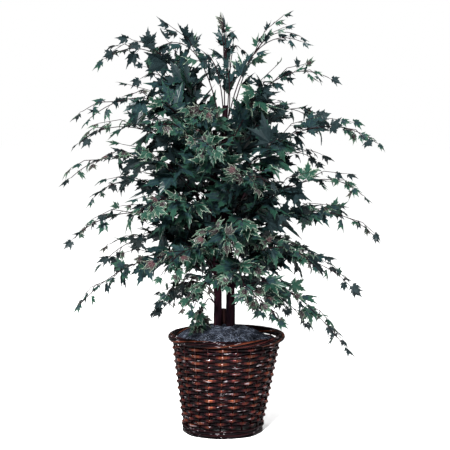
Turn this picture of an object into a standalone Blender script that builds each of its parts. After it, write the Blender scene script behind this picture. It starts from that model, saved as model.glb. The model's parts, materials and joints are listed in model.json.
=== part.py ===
"""An artificial maple tree in a wicker basket, 1.22 m tall, as faceted solids in metres with +Z up.

Two natural stems and a cut-off third one stand in a foam block inside the basket, under a pad of moss.
Wire sprays leave the stems in tiers. Each spray is one solid: a tapering wire that rises and arches over,
two side wires, and the leaves on them, which shrink towards its tip. The front of the tree faces -Y.
The origin is the middle of the basket's flat underside.
"""

import math
import random
from collections import namedtuple

import bmesh
import bpy
from mathutils import Matrix, Vector
from mathutils.bvhtree import BVHTree

# ---- driving dimensions, in metres ----
CLEARANCE = 0.0003  # gap kept between solids that meet

# Basket: a tapered wicker pot that leans a little, with an open row of stakes under its rolled rim.
BASKET_LEAN = 0.04  # sideways shift towards +X for each metre of height
FOOT_RADIUS = 0.1125
WALL_TOP_RADIUS = 0.1557
WALL_TOP = 0.2625
WALL_THICKNESS = 0.007
FOOT_ROUNDING = 0.001  # how much smaller the underside is than the wall's foot
FLOOR_THICKNESS = 0.010
FOOT_BAND_STRANDS = 3
FOOT_STRAND_HEIGHT = 0.008
FOOT_STRAND_BULGE = 0.0025
STAKE_COUNT = 23
STAKE_RADIUS = 0.0024
STAKE_SIDES = 4
STAKE_SUNK = 0.012  # how far a stake's foot is inside the wall
RIM_RADIUS = 0.1590  # to the middle of the rolled border
RIM_HEIGHT = 0.276
RIM_THICKNESS = 0.0105  # radius of the rolled border
RIM_STRANDS = 3
RIM_TWISTS = 6  # times that a strand comes to the top, all the way round
RIM_LOBE = 0.13  # depth of the grooves between the strands, as a share of the border's radius
RIM_SEGMENTS = 32
RIM_SIDES = 7
BASKET_SIDES = 32

# Filling.
BLOCK_TOP = 0.238
BLOCK_TAPER = 0.002  # how much the block is slimmer at its foot than the wall's inside
MOSS_RADIUS = 0.1405
MOSS_FOOT_RADIUS = 0.1385
MOSS_EDGE_HEIGHT = 0.264
MOSS_TOP = 0.304
MOSS_SHOULDER = 2.4  # how full the mound is: 1 is a cone
MOSS_TILT = 0.05  # fall towards +X for each metre
MOSS_LUMP = 0.004
MOSS_RINGS = 5
MOSS_SIDES = 16
MOSS_SEED = 11
STEM_CUT = 0.010  # how far under the stems' feet their holes in the moss go

# Stems: foot and tip on the ground plan, height of the tip, radius at the foot and at the tip, wander.
STEM_FOOT = BLOCK_TOP + CLEARANCE
STEMS = {
    "left": ((-0.016, -0.006), (-0.024, 0.004), 0.87, (0.0125, 0.0070), 0.0045),
    "right": ((0.0215, 0.000), (0.004, -0.004), 0.94, (0.0142, 0.0065), 0.0050),
    "stub": ((0.0020, 0.029), (0.0010, 0.029), 0.352, (0.0095, 0.0085), 0.0),
}
STEM_WAVES = (1.1, 1.55)  # full waves that a stem wanders through along X and along Y
STEM_STEP = 0.075  # height between the rings that a stem is made of
STEM_SIDES = 10

# Sprays: tiers from the lowest up. Each has a root height on the stems and the bare share of its wires. Its
# right, back, left and front spray have the degrees that they turn from that side about the axis, the reach
# from the axis, and the height of the tip.
SIDES = ("right", "back", "left", "front")
SIDE_STEP = 0.006  # rise of the root from each of a tier's sprays to the next
TIERS = (
    (0.366, 0.50, ((38, 0.320, 0.292), (38, 0.30, 0.325), (38, 0.115, 0.300), (38, 0.245, 0.352))),
    (0.392, 0.44, ((-20, 0.375, 0.268), (-20, 0.34, 0.330), (-20, 0.200, 0.378), (-20, 0.30, 0.395))),
    (0.424, 0.34, ((15, 0.415, 0.405), (15, 0.38, 0.420), (15, 0.430, 0.392), (15, 0.33, 0.425))),
    (0.462, 0.26, ((-30, 0.310, 0.500), (-30, 0.40, 0.480), (-30, 0.425, 0.466), (-30, 0.36, 0.490))),
    (0.508, 0.20, ((5, 0.458, 0.566), (5, 0.42, 0.560), (5, 0.445, 0.562), (5, 0.38, 0.560))),
    (0.560, 0.16, ((-18, 0.425, 0.690), (-18, 0.43, 0.660), (-18, 0.415, 0.672), (-42, 0.38, 0.650))),
    (0.618, 0.16, ((26, 0.330, 0.775), (26, 0.42, 0.740), (26, 0.465, 0.742), (20, 0.36, 0.725))),
    (0.680, 0.16, ((-8, 0.458, 0.835), (-8, 0.40, 0.830), (-8, 0.432, 0.833), (-12, 0.34, 0.815))),
    (0.745, 0.18, ((30, 0.330, 0.905), (30, 0.38, 0.865), (30, 0.450, 0.906), (-36, 0.31, 0.870))),
    (0.812, 0.24, ((-15, 0.332, 1.016), (60, 0.28, 1.020), (-15, 0.378, 1.076), (-20, 0.27, 0.905))),
)
# The crown's top: azimuth in degrees, reach and tip height of each spray round the right stem's tip.
TOP_SPRAYS = (
    (8, 0.248, 1.138),
    (62, 0.150, 1.106),
    (86, 0.120, 1.131),
    (165, 0.200, 1.110),
    (315, 0.048, 1.150),
    (344, 0.245, 1.118),
    (255, 0.170, 1.060),
)
TOP_ROOT = 0.868
TOP_ROOT_STEP = 0.0085
TOP_FIRST = 0.34
END_LEAF = 0.020  # part of a spray's reach that is the leaf at its tip
WIRE_ROOT_RADIUS = 0.0020
WIRE_TIP_RADIUS = 0.0011
WIRE_SEGMENTS = 6
WIRE_STEP_OUT = 0.006  # length of the wire's first straight, square to the stem's surface
# How a wire arches: its rise above level at the stem in degrees, the length that it keeps to it as a share
# of the spray's span, and its fall at the tip. The wide sprays go from the low arch to the high one.
LOW_ARCH = (54, 0.46, 48)
HIGH_ARCH = {"right": (67, 0.60, 26), "left": (74, 0.66, 32)}
INNER_ARCH = (52, 0.40, 34)  # back and front
TOP_ARCH = (78, 0.62, 24)
ARCH_POWER = 3  # how late, with height, the arch turns to the high one
FALL_SHARE = 0.34  # of the span, that the wire keeps to its fall
AZIMUTH_SPREAD = 5  # degrees that a spray strays from its azimuth, each way
SPRAY_SEED = 486

# Side wires: shares of the main wire's length where they leave it, their own length as a share of the main
# wire's, and how they bend.
TWIG_FORKS = (0.36, 0.58)
TOP_FORKS = (0.58,)
TWIG_LEAVES = 4
TWIG_REACH = (0.36, 0.28)
TWIG_REACH_SPREAD = (0.9, 1.1)  # times the reach, at least and at most
TWIG_YAW = 28  # degrees between the main wire and a side wire, seen from above
TWIG_YAW_SPREAD = 9
TWIG_RISE = 0.18
TWIG_KNEE = 0.55
TWIG_BEND = 0.55
TWIG_ROOT_RADIUS = 0.0016

# Leaves: length from the petiole's end to the middle lobe's tip.
LEAF_SMALL = 0.040
LEAF_LARGE = 0.110
TOP_LEAF_LARGE = 0.070
SMALL_TO_TIP = 0.03  # leaves nearer than this to a wire's tip, along it, are small
LARGE_FROM_TIP = 0.24  # and leaves this much farther from it are large
TWIG_FROM_TIP = 0.03  # a side wire's tip counts as this far from the tip
LEAF_SIZE_SPREAD = (0.82, 1.16)  # times the length, at least and at most
LEAF_SPACING = 0.036  # from leaf to leaf along a main wire
GOLDEN_TURN = 137.5  # degrees from leaf to leaf round a main wire
TURN_SPREAD = 25  # degrees more or less than that
TWIG_TURN_SPREAD = 40  # the same on a side wire, where leaves stand left and right by turns
SPREAD = (28, 76)  # degrees between a leaf and its wire
TOP_SPREAD = (8, 34)  # the same in the crown's top, where leaves lie along their wires
END_SPREAD = 6  # the same, for the leaf at the wire's tip
DROOP = 0.22  # how far a leaf's tip hangs, as a share of its length
FACE_UP = 0.55  # what turns a leaf's face: towards the sky, away from the stems, and any way
FACE_OUT = 0.35
FACE_LOOSE = 0.75
PETIOLE = 0.18  # of the leaf's length
LEAF_THICKNESS = 0.020  # of the leaf's length, at the end of the petiole where the veins meet
FIVE_LOBED_FROM = 0.092  # leaves shorter than this have three lobes in the solid
THREE_LOBED_FROM = 0.056  # and shorter than this, one
FINE_EACH = 3  # one leaf in this many along a main wire isn't in the solid
ROOT_SUNK = 0.0004  # how far a leaf's root passes the wire's axis
END_SUNK = 0.0012  # and how deep the leaf at a wire's tip goes into it, lengthways

# Half outlines of a leaf, middle lobe first: along and across, as shares of its length.
FIVE_LOBES = ((1.0, 0.0), (0.42, 0.15), (0.55, 0.52), (0.10, 0.17), (-PETIOLE, 0.0))
THREE_LOBES = ((1.0, 0.0), (0.40, 0.15), (0.34, 0.50), (-PETIOLE, 0.0))
ONE_LOBE = ((1.0, 0.0), (0.30, 0.42), (-PETIOLE, 0.0))

UP = Vector((0, 0, 1))
Spray = namedtuple("Spray", "name stem root azimuth reach tip arch first top")
TREE = "maple_tree_in_basket"
FINISHES = {  # colour, roughness, metallic
    "wicker": ((0.055, 0.014, 0.009, 1), 0.28, 0.0),
    "foam": ((0.025, 0.028, 0.026, 1), 0.95, 0.0),
    "moss": ((0.032, 0.040, 0.050, 1), 0.95, 0.0),
    "bark": ((0.040, 0.014, 0.016, 1), 0.55, 0.0),
    "leaf": ((0.014, 0.045, 0.036, 1), 0.50, 0.0),
}


# ---- scene and mesh helpers ----
def clear_scene():
    for obj in list(bpy.data.objects):
        bpy.data.objects.remove(obj, do_unlink=True)


def new_collection(name):
    made = bpy.data.collections.new(name)
    bpy.context.scene.collection.children.link(made)
    return made


def finish(name):
    """The named Principled material, made on first use."""
    found = bpy.data.materials.get(name)
    if found:
        return found
    colour, roughness, metallic = FINISHES[name]
    made = bpy.data.materials.new(name)
    made.use_nodes = True
    shader = made.node_tree.nodes["Principled BSDF"]
    shader.inputs["Base Color"].default_value = colour
    shader.inputs["Roughness"].default_value = roughness
    shader.inputs["Metallic"].default_value = metallic
    return made


def add_object(name, data, collection, material):
    obj = bpy.data.objects.new(name, data)
    collection.objects.link(obj)
    obj.data.materials.clear()
    obj.data.materials.append(finish(material))
    return obj


def as_mesh(obj, collection, material):
    """Replaces an object by the mesh that its curve or modifiers make, with a curve's loose caps welded."""
    bpy.context.view_layer.update()
    graph = bpy.context.evaluated_depsgraph_get()
    mesh = bpy.data.meshes.new_from_object(obj.evaluated_get(graph))
    body = bmesh.new()
    body.from_mesh(mesh)
    bmesh.ops.remove_doubles(body, verts=body.verts, dist=1e-6)
    body.to_mesh(mesh)
    body.free()
    name, place = obj.name, obj.matrix_world.copy()
    bpy.data.objects.remove(obj, do_unlink=True)
    made = add_object(name, mesh, collection, material)
    made.matrix_world = place
    return made


def smooth(obj, sharp_degrees=40):
    obj.data.shade_smooth()
    obj.data.set_sharp_from_angle(angle=math.radians(sharp_degrees))


def turned(name, profile, sides, collection, material):
    """A solid of revolution about Z. The profile is (radius, height) pairs that run down its outer side."""
    mesh = bpy.data.meshes.new(name)
    edges = [(i, i + 1) for i in range(len(profile) - 1)]
    mesh.from_pydata([(r, 0, z) for r, z in profile], edges, [])
    obj = add_object(name, mesh, collection, material)
    screw = obj.modifiers.new("turn", "SCREW")
    screw.steps = screw.render_steps = sides
    screw.use_merge_vertices = True
    screw.merge_threshold = 0.0001
    return as_mesh(obj, collection, material)


def boolean(obj, operation, other, solver="EXACT"):
    """Applies a Boolean with an object or a collection and returns the object that results."""
    cut = obj.modifiers.new(operation.lower(), "BOOLEAN")
    cut.operation = operation
    cut.solver = solver
    if isinstance(other, bpy.types.Collection):
        cut.operand_type = "COLLECTION"
        cut.collection = other
    else:
        cut.object = other
    return as_mesh(obj, obj.users_collection[0], obj.data.materials[0].name)


def empty_collection(collection):
    for obj in list(collection.objects):
        bpy.data.objects.remove(obj, do_unlink=True)


def section(radius, sides):
    """A closed outline, hidden from the model, that gives a wire its cross-section."""
    curve = bpy.data.curves.new("section", "CURVE")
    spline = curve.splines.new("POLY")
    spline.points.add(sides - 1)
    for i, point in enumerate(spline.points):
        turn = math.tau * i / sides
        point.co = (radius * math.cos(turn), radius * math.sin(turn), 0, 1)
    spline.use_cyclic_u = True
    obj = bpy.data.objects.new("section", curve)
    bpy.context.scene.collection.objects.link(obj)
    obj.hide_render = True
    obj.display_type = "WIRE"
    return obj


def limb(name, points, radii, outline, collection, material):
    """A tapering tube along points. The outline has a radius of 1, and radii scale it at each point."""
    curve = bpy.data.curves.new(name, "CURVE")
    curve.dimensions = "3D"
    curve.bevel_mode = "OBJECT"
    curve.bevel_object = outline
    curve.use_fill_caps = True
    spline = curve.splines.new("POLY")
    spline.points.add(len(points) - 1)
    for spot, co, radius in zip(spline.points, points, radii):
        spot.co = (*co, 1)
        spot.radius = radius
    obj = bpy.data.objects.new(name, curve)
    collection.objects.link(obj)
    made = as_mesh(obj, collection, material)
    body = bmesh.new()
    body.from_mesh(made.data)
    bmesh.ops.recalc_face_normals(body, faces=body.faces)
    body.to_mesh(made.data)
    body.free()
    return made


# ---- basket ----
def lean(obj):
    """Leans a basket piece towards +X in its mesh, so that the underside stays level."""
    shear = Matrix.Identity(4)
    shear[0][2] = BASKET_LEAN
    obj.data.transform(shear)


def wall_radius(height):
    """The wall's outer radius at a height."""
    return FOOT_RADIUS + (WALL_TOP_RADIUS - FOOT_RADIUS) * height / WALL_TOP


def foot_band():
    """Profile points of the strands that bulge out round the foot, from the top strand down."""
    points = []
    for strand in reversed(range(FOOT_BAND_STRANDS)):
        middle = (strand + 0.5) * FOOT_STRAND_HEIGHT
        points.append((wall_radius(middle) + FOOT_STRAND_BULGE, middle))
        if strand:
            seam = strand * FOOT_STRAND_HEIGHT
            points.append((wall_radius(seam), seam))
    return points


def make_basket_body(collection, cutters):
    inside = [(0, FLOOR_THICKNESS), (FOOT_RADIUS - WALL_THICKNESS, FLOOR_THICKNESS)]
    top = [(WALL_TOP_RADIUS - WALL_THICKNESS, WALL_TOP), (WALL_TOP_RADIUS, WALL_TOP)]
    band_top = FOOT_BAND_STRANDS * FOOT_STRAND_HEIGHT
    outside = [(wall_radius(band_top), band_top), *foot_band(), (FOOT_RADIUS - FOOT_ROUNDING, 0), (0, 0)]
    body = turned("basket_body", inside + top + outside, BASKET_SIDES, collection, "wicker")
    stake_foot = WALL_TOP - STAKE_SUNK
    stake_top = RIM_HEIGHT - RIM_THICKNESS
    for i in range(STAKE_COUNT):
        turn = math.tau * (i + 0.5) / STAKE_COUNT
        mesh = bpy.data.meshes.new("stake")
        rod = bmesh.new()
        bmesh.ops.create_cone(
            rod,
            cap_ends=True,
            segments=STAKE_SIDES,
            radius1=STAKE_RADIUS,
            radius2=STAKE_RADIUS,
            depth=stake_top - stake_foot,
        )
        rod.to_mesh(mesh)
        rod.free()
        stake = add_object("stake", mesh, cutters, "wicker")
        radius = WALL_TOP_RADIUS - WALL_THICKNESS / 2
        stake.location = (radius * math.cos(turn), radius * math.sin(turn), (stake_top + stake_foot) / 2)
    body = boolean(body, "UNION", cutters)
    empty_collection(cutters)
    lean(body)
    smooth(body)


def make_basket_rim(collection):
    bpy.ops.mesh.primitive_torus_add(
        major_segments=RIM_SEGMENTS,
        minor_segments=RIM_SIDES,
        major_radius=RIM_RADIUS,
        minor_radius=RIM_THICKNESS,
    )
    made = bpy.context.object
    made.name = "basket_rim"
    for owner in list(made.users_collection):
        owner.objects.unlink(made)
    collection.objects.link(made)
    made.data.materials.append(finish("wicker"))
    for vertex in made.data.vertices:
        x, y, z = vertex.co
        around = math.atan2(y, x)
        out = math.hypot(x, y) - RIM_RADIUS
        across = math.atan2(z, out)
        lobe = 1 - RIM_LOBE * (1 + math.cos(RIM_STRANDS * across + RIM_TWISTS * around)) / 2
        radius = RIM_RADIUS + out * lobe
        vertex.co = (radius * math.cos(around), radius * math.sin(around), z * lobe + RIM_HEIGHT + CLEARANCE)
    lean(made)
    smooth(made)


# ---- filling ----
def make_planting_block(collection):
    gap = WALL_THICKNESS + 3 * CLEARANCE
    low = FLOOR_THICKNESS + CLEARANCE
    top_edge = (wall_radius(BLOCK_TOP) - gap, BLOCK_TOP)
    foot_edge = (wall_radius(low) - gap - BLOCK_TAPER, low)
    profile = [(0, BLOCK_TOP), top_edge, foot_edge, (0, low)]
    block = turned("planting_block", profile, BASKET_SIDES, collection, "foam")
    lean(block)
    smooth(block)


def make_moss(collection, cutters):
    """A low mound with soft lumps, cut clear of the stems that rise through it."""
    foot = BLOCK_TOP + CLEARANCE
    profile = [(0, MOSS_TOP)]
    for i in range(1, MOSS_RINGS + 1):
        share = i / MOSS_RINGS
        fall = (MOSS_TOP - MOSS_EDGE_HEIGHT) * share**MOSS_SHOULDER
        profile.append((MOSS_RADIUS * share, MOSS_TOP - fall))
    profile += [(MOSS_FOOT_RADIUS, foot), (0, foot)]
    moss = turned("moss", profile, MOSS_SIDES, collection, "moss")
    rng = random.Random(MOSS_SEED)
    for vertex in moss.data.vertices:
        lump = Vector([rng.uniform(-MOSS_LUMP, MOSS_LUMP) for _ in range(3)])
        if vertex.co.z > foot + CLEARANCE:
            vertex.co += lump
            vertex.co.z -= MOSS_TILT * vertex.co.x
    lean(moss)
    outline = section(1.0, STEM_SIDES)
    for name in STEMS:
        points, radii = stem_line(name, lower=STEM_CUT)
        cutter = limb("cutter", points, [r + 3 * CLEARANCE for r in radii], outline, cutters, "moss")
        cutter.hide_render = True
        cutter.display_type = "WIRE"
    for cutter in list(cutters.objects):
        moss = boolean(moss, "DIFFERENCE", cutter)
    empty_collection(cutters)
    bpy.data.objects.remove(outline, do_unlink=True)
    smooth(moss)


# ---- stems ----
def stem_axis(name, height):
    """The middle of a stem at a height, and its radius there."""
    foot, tip, top, (low, high), wander = STEMS[name]
    share = (height - STEM_FOOT) / (top - STEM_FOOT)
    middle = Vector((*foot, 0)).lerp(Vector((*tip, 0)), share)
    middle.x += wander * math.sin(math.tau * STEM_WAVES[0] * share)
    middle.y += wander * math.sin(math.tau * STEM_WAVES[1] * share)
    middle.z = height
    return middle, low + (high - low) * share


def stem_line(name, lower=0.0):
    """Points and radii along a stem, from its foot, or from that much lower on its line, to its tip."""
    top = STEMS[name][2]
    steps = max(2, round((top - STEM_FOOT) / STEM_STEP))
    heights = [STEM_FOOT + (top - STEM_FOOT) * i / steps for i in range(steps + 1)]
    rings = [stem_axis(name, z) for z in heights]
    points = [p for p, _ in rings]
    points[0] = points[0] + lower * (points[0] - points[1]).normalized()
    return points, [r for _, r in rings]


def make_stems(collection):
    outline = section(1.0, STEM_SIDES)
    made = []
    for name in STEMS:
        points, radii = stem_line(name)
        trunk = limb(f"trunk_{name}", points, radii, outline, collection, "bark")
        level_foot(trunk)
        smooth(trunk)
        made.append(trunk)
    bpy.data.objects.remove(outline, do_unlink=True)
    return made


def level_foot(trunk):
    """Sets the foot's ring level, so that the cut is flat on the block."""
    for vertex in trunk.data.vertices:
        if vertex.co.z < STEM_FOOT + STEM_STEP / 4:
            vertex.co.z = STEM_FOOT


# ---- sprays: the rule that lays out wires and leaves ----
def bezier(corners, t):
    a, b, c, d = corners
    return a * (1 - t) ** 3 + b * (3 * t * (1 - t) ** 2) + c * (3 * t * t * (1 - t)) + d * t**3


def on_line(points, share):
    """The point at a share of a line's length, and the direction of the line there."""
    steps = [(b - a).length for a, b in zip(points, points[1:])]
    left = share * sum(steps)
    for i, step in enumerate(steps):
        if left <= step or i == len(steps) - 1:
            break
        left -= step
    return points[i].lerp(points[i + 1], left / steps[i]), (points[i + 1] - points[i]).normalized()


def heading(azimuth, elevation):
    """A unit vector. Azimuth turns from +X towards +Y, and elevation is above level, both in degrees."""
    a, e = math.radians(azimuth), math.radians(elevation)
    return Vector((math.cos(a) * math.cos(e), math.sin(a) * math.cos(e), math.sin(e)))


def spray_list():
    """Every spray, from the lowest tier up."""
    sprays = []
    for tier, (root, first, row) in enumerate(TIERS):
        height = (tier / (len(TIERS) - 1)) ** ARCH_POWER
        for side, (turn, reach, tip) in enumerate(row):
            name = f"spray_{tier + 1:02d}_{SIDES[side]}"
            high_arch = HIGH_ARCH.get(SIDES[side])
            azimuth = 90 * side + turn
            stem = "left" if 90 < azimuth % 360 < 270 else "right"
            arch = INNER_ARCH
            if high_arch:
                arch = [low + (high - low) * height for low, high in zip(LOW_ARCH, high_arch)]
            sprays.append(Spray(name, stem, root + SIDE_STEP * side, azimuth, reach, tip, arch, first, False))
    for i, (azimuth, reach, tip) in enumerate(TOP_SPRAYS):
        name = f"spray_top_{i + 1}"
        root = TOP_ROOT + TOP_ROOT_STEP * i
        sprays.append(Spray(name, "right", root, azimuth, reach, tip, TOP_ARCH, TOP_FIRST, True))
    return sprays


def wire_line(spray, azimuth):
    """The points of a spray's main wire: a straight out of the stem, and an arch to its tip."""
    middle, radius = stem_axis(spray.stem, spray.root)
    out = heading(azimuth, 0)
    start = middle + out * (radius + WIRE_STEP_OUT)
    end = out * (spray.reach - END_LEAF) + UP * spray.tip
    span = (end - start).length
    rise, rise_share, fall = spray.arch
    corners = (
        start,
        start + heading(azimuth, rise) * (rise_share * span),
        end - heading(azimuth, -fall) * (FALL_SHARE * span),
        end,
    )
    line = [start - WIRE_STEP_OUT * out]
    return line + [bezier(corners, i / WIRE_SEGMENTS) for i in range(WIRE_SEGMENTS + 1)]


def smoothstep(x):
    x = min(1.0, max(0.0, x))
    return x * x * (3 - 2 * x)


def leaf_length(from_tip, top, rng):
    """Leaves grow with their distance from the tip of the wire."""
    share = smoothstep((from_tip - SMALL_TO_TIP) / LARGE_FROM_TIP)
    large = TOP_LEAF_LARGE if top else LEAF_LARGE
    return (LEAF_SMALL + (large - LEAF_SMALL) * share) * rng.uniform(*LEAF_SIZE_SPREAD)


def leaf_frame(root, along, turn, spread, length, outward, rng):
    """A leaf's place: X runs along it, Y across it and Z out of its face, scaled to its length.

    Spread is the range of degrees between the leaf and its wire, or None for the leaf at the wire's tip.
    """
    last = spread is None
    spread = math.radians(END_SPREAD if last else rng.uniform(*spread))
    side = along.cross(UP).normalized()
    over = side.cross(along)
    axis = along * math.cos(spread) + (side * math.cos(turn) + over * math.sin(turn)) * math.sin(spread)
    axis.z -= 0 if last else DROOP
    axis.normalize()
    tilt = Vector([rng.uniform(-1, 1) for _ in range(3)])
    face = UP * FACE_UP + outward * FACE_OUT + tilt * FACE_LOOSE
    face = (face - axis * face.dot(axis)).normalized()
    across = face.cross(axis)
    frame = Matrix((axis, across, face)).transposed().to_4x4() @ Matrix.Scale(length, 4)
    frame.translation = root + axis * (PETIOLE * length - (END_SUNK if last else ROOT_SUNK))
    return frame


def spray_plan(number, spray):
    """What one spray is grown from.

    Its wires are (points, first radius, last radius), the main one first. Its leaves are (frame, length,
    number of the wire, fine). The fine ones are left to be grown in the real tree and aren't in the solid.
    """
    rng = random.Random(SPRAY_SEED + number)
    azimuth = spray.azimuth + rng.uniform(-AZIMUTH_SPREAD, AZIMUTH_SPREAD)
    outward = heading(azimuth, 0)
    spread = TOP_SPREAD if spray.top else SPREAD
    line = wire_line(spray, azimuth)
    length = sum((b - a).length for a, b in zip(line, line[1:]))
    wires = [(line, WIRE_ROOT_RADIUS, WIRE_TIP_RADIUS)]
    leaves = []
    stations = round((1 - spray.first) * length / LEAF_SPACING) + 1
    for k in range(stations):
        share = spray.first + (1 - spray.first) * k / (stations - 1)
        last = k == stations - 1
        size = leaf_length((1 - share) * length, spray.top, rng)
        turn = math.radians(GOLDEN_TURN * k + rng.uniform(-TURN_SPREAD, TURN_SPREAD))
        frame = leaf_frame(*on_line(line, share), turn, None if last else spread, size, outward, rng)
        leaves.append((frame, size, 0, (stations - 1 - k) % FINE_EACH == 1))
    for fork, share in enumerate(TOP_FORKS if spray.top else TWIG_FORKS):
        start, along = on_line(line, share)
        sense = 1 if (fork + number) % 2 else -1
        yaw_degrees = sense * TWIG_YAW + rng.uniform(-TWIG_YAW_SPREAD, TWIG_YAW_SPREAD)
        yaw = Matrix.Rotation(math.radians(yaw_degrees), 3, "Z")
        away = (yaw @ along + UP * TWIG_RISE).normalized()
        reach = length * TWIG_REACH[fork] * rng.uniform(*TWIG_REACH_SPREAD)
        knee = start + away * (TWIG_KNEE * reach)
        end = knee + (away - UP * TWIG_BEND).normalized() * ((1 - TWIG_KNEE) * reach)
        wires.append(([start, knee, end], TWIG_ROOT_RADIUS, WIRE_TIP_RADIUS))
        for k in range(TWIG_LEAVES):
            share = (k + 1) / TWIG_LEAVES
            last = k == TWIG_LEAVES - 1
            size = leaf_length((1 - share) * reach + TWIG_FROM_TIP, spray.top, rng)
            turn = math.radians(180 * k + rng.uniform(-TWIG_TURN_SPREAD, TWIG_TURN_SPREAD))
            spot = on_line([start, knee, end], share)
            frame = leaf_frame(*spot, turn, None if last else spread, size, outward, rng)
            leaves.append((frame, size, fork + 1, not last))
    return wires, leaves


# ---- sprays: the solids ----
def leaf_blank(name, half):
    """A flat double pyramid over a leaf's outline, one unit long, shaped from a ball with one ring."""
    outline = [*half, *((along, -across) for along, across in half[-2:0:-1])]
    ball = bmesh.new()
    bmesh.ops.create_uvsphere(ball, u_segments=len(outline), v_segments=2, radius=1)
    ring = [v for v in ball.verts if abs(v.co.z) < 0.5]
    ring.sort(key=lambda v: math.atan2(v.co.y, v.co.x) % math.tau)
    poles = [v for v in ball.verts if abs(v.co.z) > 0.5]
    for vertex, (along, across) in zip(ring, outline):
        vertex.co = (along, across, 0)
    for vertex in poles:
        vertex.co = (0, 0, math.copysign(LEAF_THICKNESS / 2, vertex.co.z))
    mesh = bpy.data.meshes.new(name)
    ball.to_mesh(mesh)
    ball.free()
    return mesh


class Grown:
    """What has been grown so far, so that each new wire or leaf can be kept clear of the other solids."""

    def __init__(self):
        self.kept = []

    @staticmethod
    def surface(mesh, place, margin=0.0):
        """Corners and faces in the tree's frame. A margin pushes them out along their normals."""
        corners = [place @ (v.co + v.normal * margin) for v in mesh.vertices]
        faces = [tuple(p.vertices) for p in mesh.polygons]
        low = [min(c[i] for c in corners) for i in range(3)]
        high = [max(c[i] for c in corners) for i in range(3)]
        return BVHTree.FromPolygons(corners, faces), low, high

    def tree(self, owner):
        return next(tree for name, tree, _, _ in self.kept if name == owner)

    def add(self, owner, mesh, place):
        self.kept.append((owner, *self.surface(mesh, place)))

    def clear(self, owner, mesh, place, margin):
        """True if the mesh, grown by margin in its own units, touches no other owner's solid."""
        tree, low, high = self.surface(mesh, place, margin)
        for other, known, other_low, other_high in self.kept:
            if other == owner or any(low[i] > other_high[i] or high[i] < other_low[i] for i in range(3)):
                continue
            if tree.overlap(known):
                return False
        return True


def seat(points, stem):
    """The wire's points with its first straight set square on the stem's surface, clear of it."""
    inward = (points[0] - points[1]).normalized()
    hit, normal, _, _ = stem.ray_cast(points[1], inward)
    return [hit + normal * CLEARANCE, hit + normal * WIRE_STEP_OUT, *points[2:]]


def make_sprays(collection, loose):
    """Grows all the sprays together, a leaf on each in turn, and then joins each one into a solid.

    A side wire or leaf that would touch the solid of another owner is left out.
    """
    outline = section(1.0, 3)
    blanks = [leaf_blank(f"leaf_{i}", half) for i, half in enumerate((ONE_LOBE, THREE_LOBES, FIVE_LOBES))]
    grown = Grown()
    for obj in collection.objects:
        grown.add(obj.name, obj.data, obj.matrix_world)
    stems = {name: grown.tree(f"trunk_{name}") for name in STEMS}
    sprays = spray_list()
    plans = [spray_plan(i, spray) for i, spray in enumerate(sprays)]
    wires = []
    for spray, (lines, _) in zip(sprays, plans):
        points, first, last = lines[0]
        points = seat(points, stems[spray.stem])
        radii = [first + (last - first) * i / (len(points) - 1) for i in range(len(points))]
        wire = limb(spray.name, points, radii, outline, collection, "leaf")
        grown.add(spray.name, wire.data, wire.matrix_world)
        wires.append(wire)
    parts = {spray.name: [] for spray in sprays}
    alive = {spray.name: {0} for spray in sprays}
    for spray, (lines, _) in zip(sprays, plans):
        for number, (points, first, last) in enumerate(lines[1:], 1):
            radii = [first + (last - first) * i / (len(points) - 1) for i in range(len(points))]
            twig = limb("twig", points, radii, outline, loose, "leaf")
            if grown.clear(spray.name, twig.data, twig.matrix_world, CLEARANCE):
                grown.add(spray.name, twig.data, twig.matrix_world)
                parts[spray.name].append(twig)
                alive[spray.name].add(number)
            else:
                bpy.data.objects.remove(twig, do_unlink=True)
    for turn in range(max(len(leaves) for _, leaves in plans)):
        for spray, (_, leaves) in zip(sprays, plans):
            if turn >= len(leaves):
                continue
            frame, length, wire, fine = leaves[-1 - turn]
            if fine or wire not in alive[spray.name]:
                continue
            mesh = blanks[(length >= THREE_LOBED_FROM) + (length >= FIVE_LOBED_FROM)]
            if not grown.clear(spray.name, mesh, frame, 2 * CLEARANCE / length):
                continue
            grown.add(spray.name, mesh, frame)
            leaf = add_object("leaf", mesh, loose, "leaf")
            leaf.matrix_world = frame
            parts[spray.name].append(leaf)
    for spray, wire in zip(sprays, wires):
        join_spray(wire, parts[spray.name])
    bpy.data.objects.remove(outline, do_unlink=True)


def drop_scraps(obj):
    """Keeps the largest connected piece of a mesh."""
    body = bmesh.new()
    body.from_mesh(obj.data)
    left = set(body.verts)
    pieces = []
    while left:
        piece = {left.pop()}
        front = list(piece)
        while front:
            near = {edge.other_vert(vert) for vert in front for edge in vert.link_edges}
            front = list(near - piece)
            piece.update(front)
        left -= piece
        pieces.append(piece)
    pieces.sort(key=len)
    bmesh.ops.delete(body, geom=[vert for piece in pieces[:-1] for vert in piece], context="VERTS")
    body.to_mesh(obj.data)
    body.free()


def join_spray(wire, parts):
    """One union of a wire with its side wires and leaves."""
    group = new_collection(f"{wire.name}_parts")
    for part in parts:
        group.objects.link(part)
        part.users_collection[0].objects.unlink(part)
    joined = boolean(wire, "UNION", group, solver="MANIFOLD")
    empty_collection(group)
    bpy.data.collections.remove(group)
    drop_scraps(joined)
    joined.data.materials.clear()
    joined.data.materials.append(finish("leaf"))
    for face in joined.data.polygons:
        face.material_index = 0
    smooth(joined, 25)


def main():
    clear_scene()
    tree = new_collection(TREE)
    cutters = new_collection("cutters")
    make_basket_body(tree, cutters)
    make_basket_rim(tree)
    make_planting_block(tree)
    make_moss(tree, cutters)
    make_stems(tree)
    make_sprays(tree, cutters)
    bpy.data.collections.remove(cutters)


main()
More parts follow.
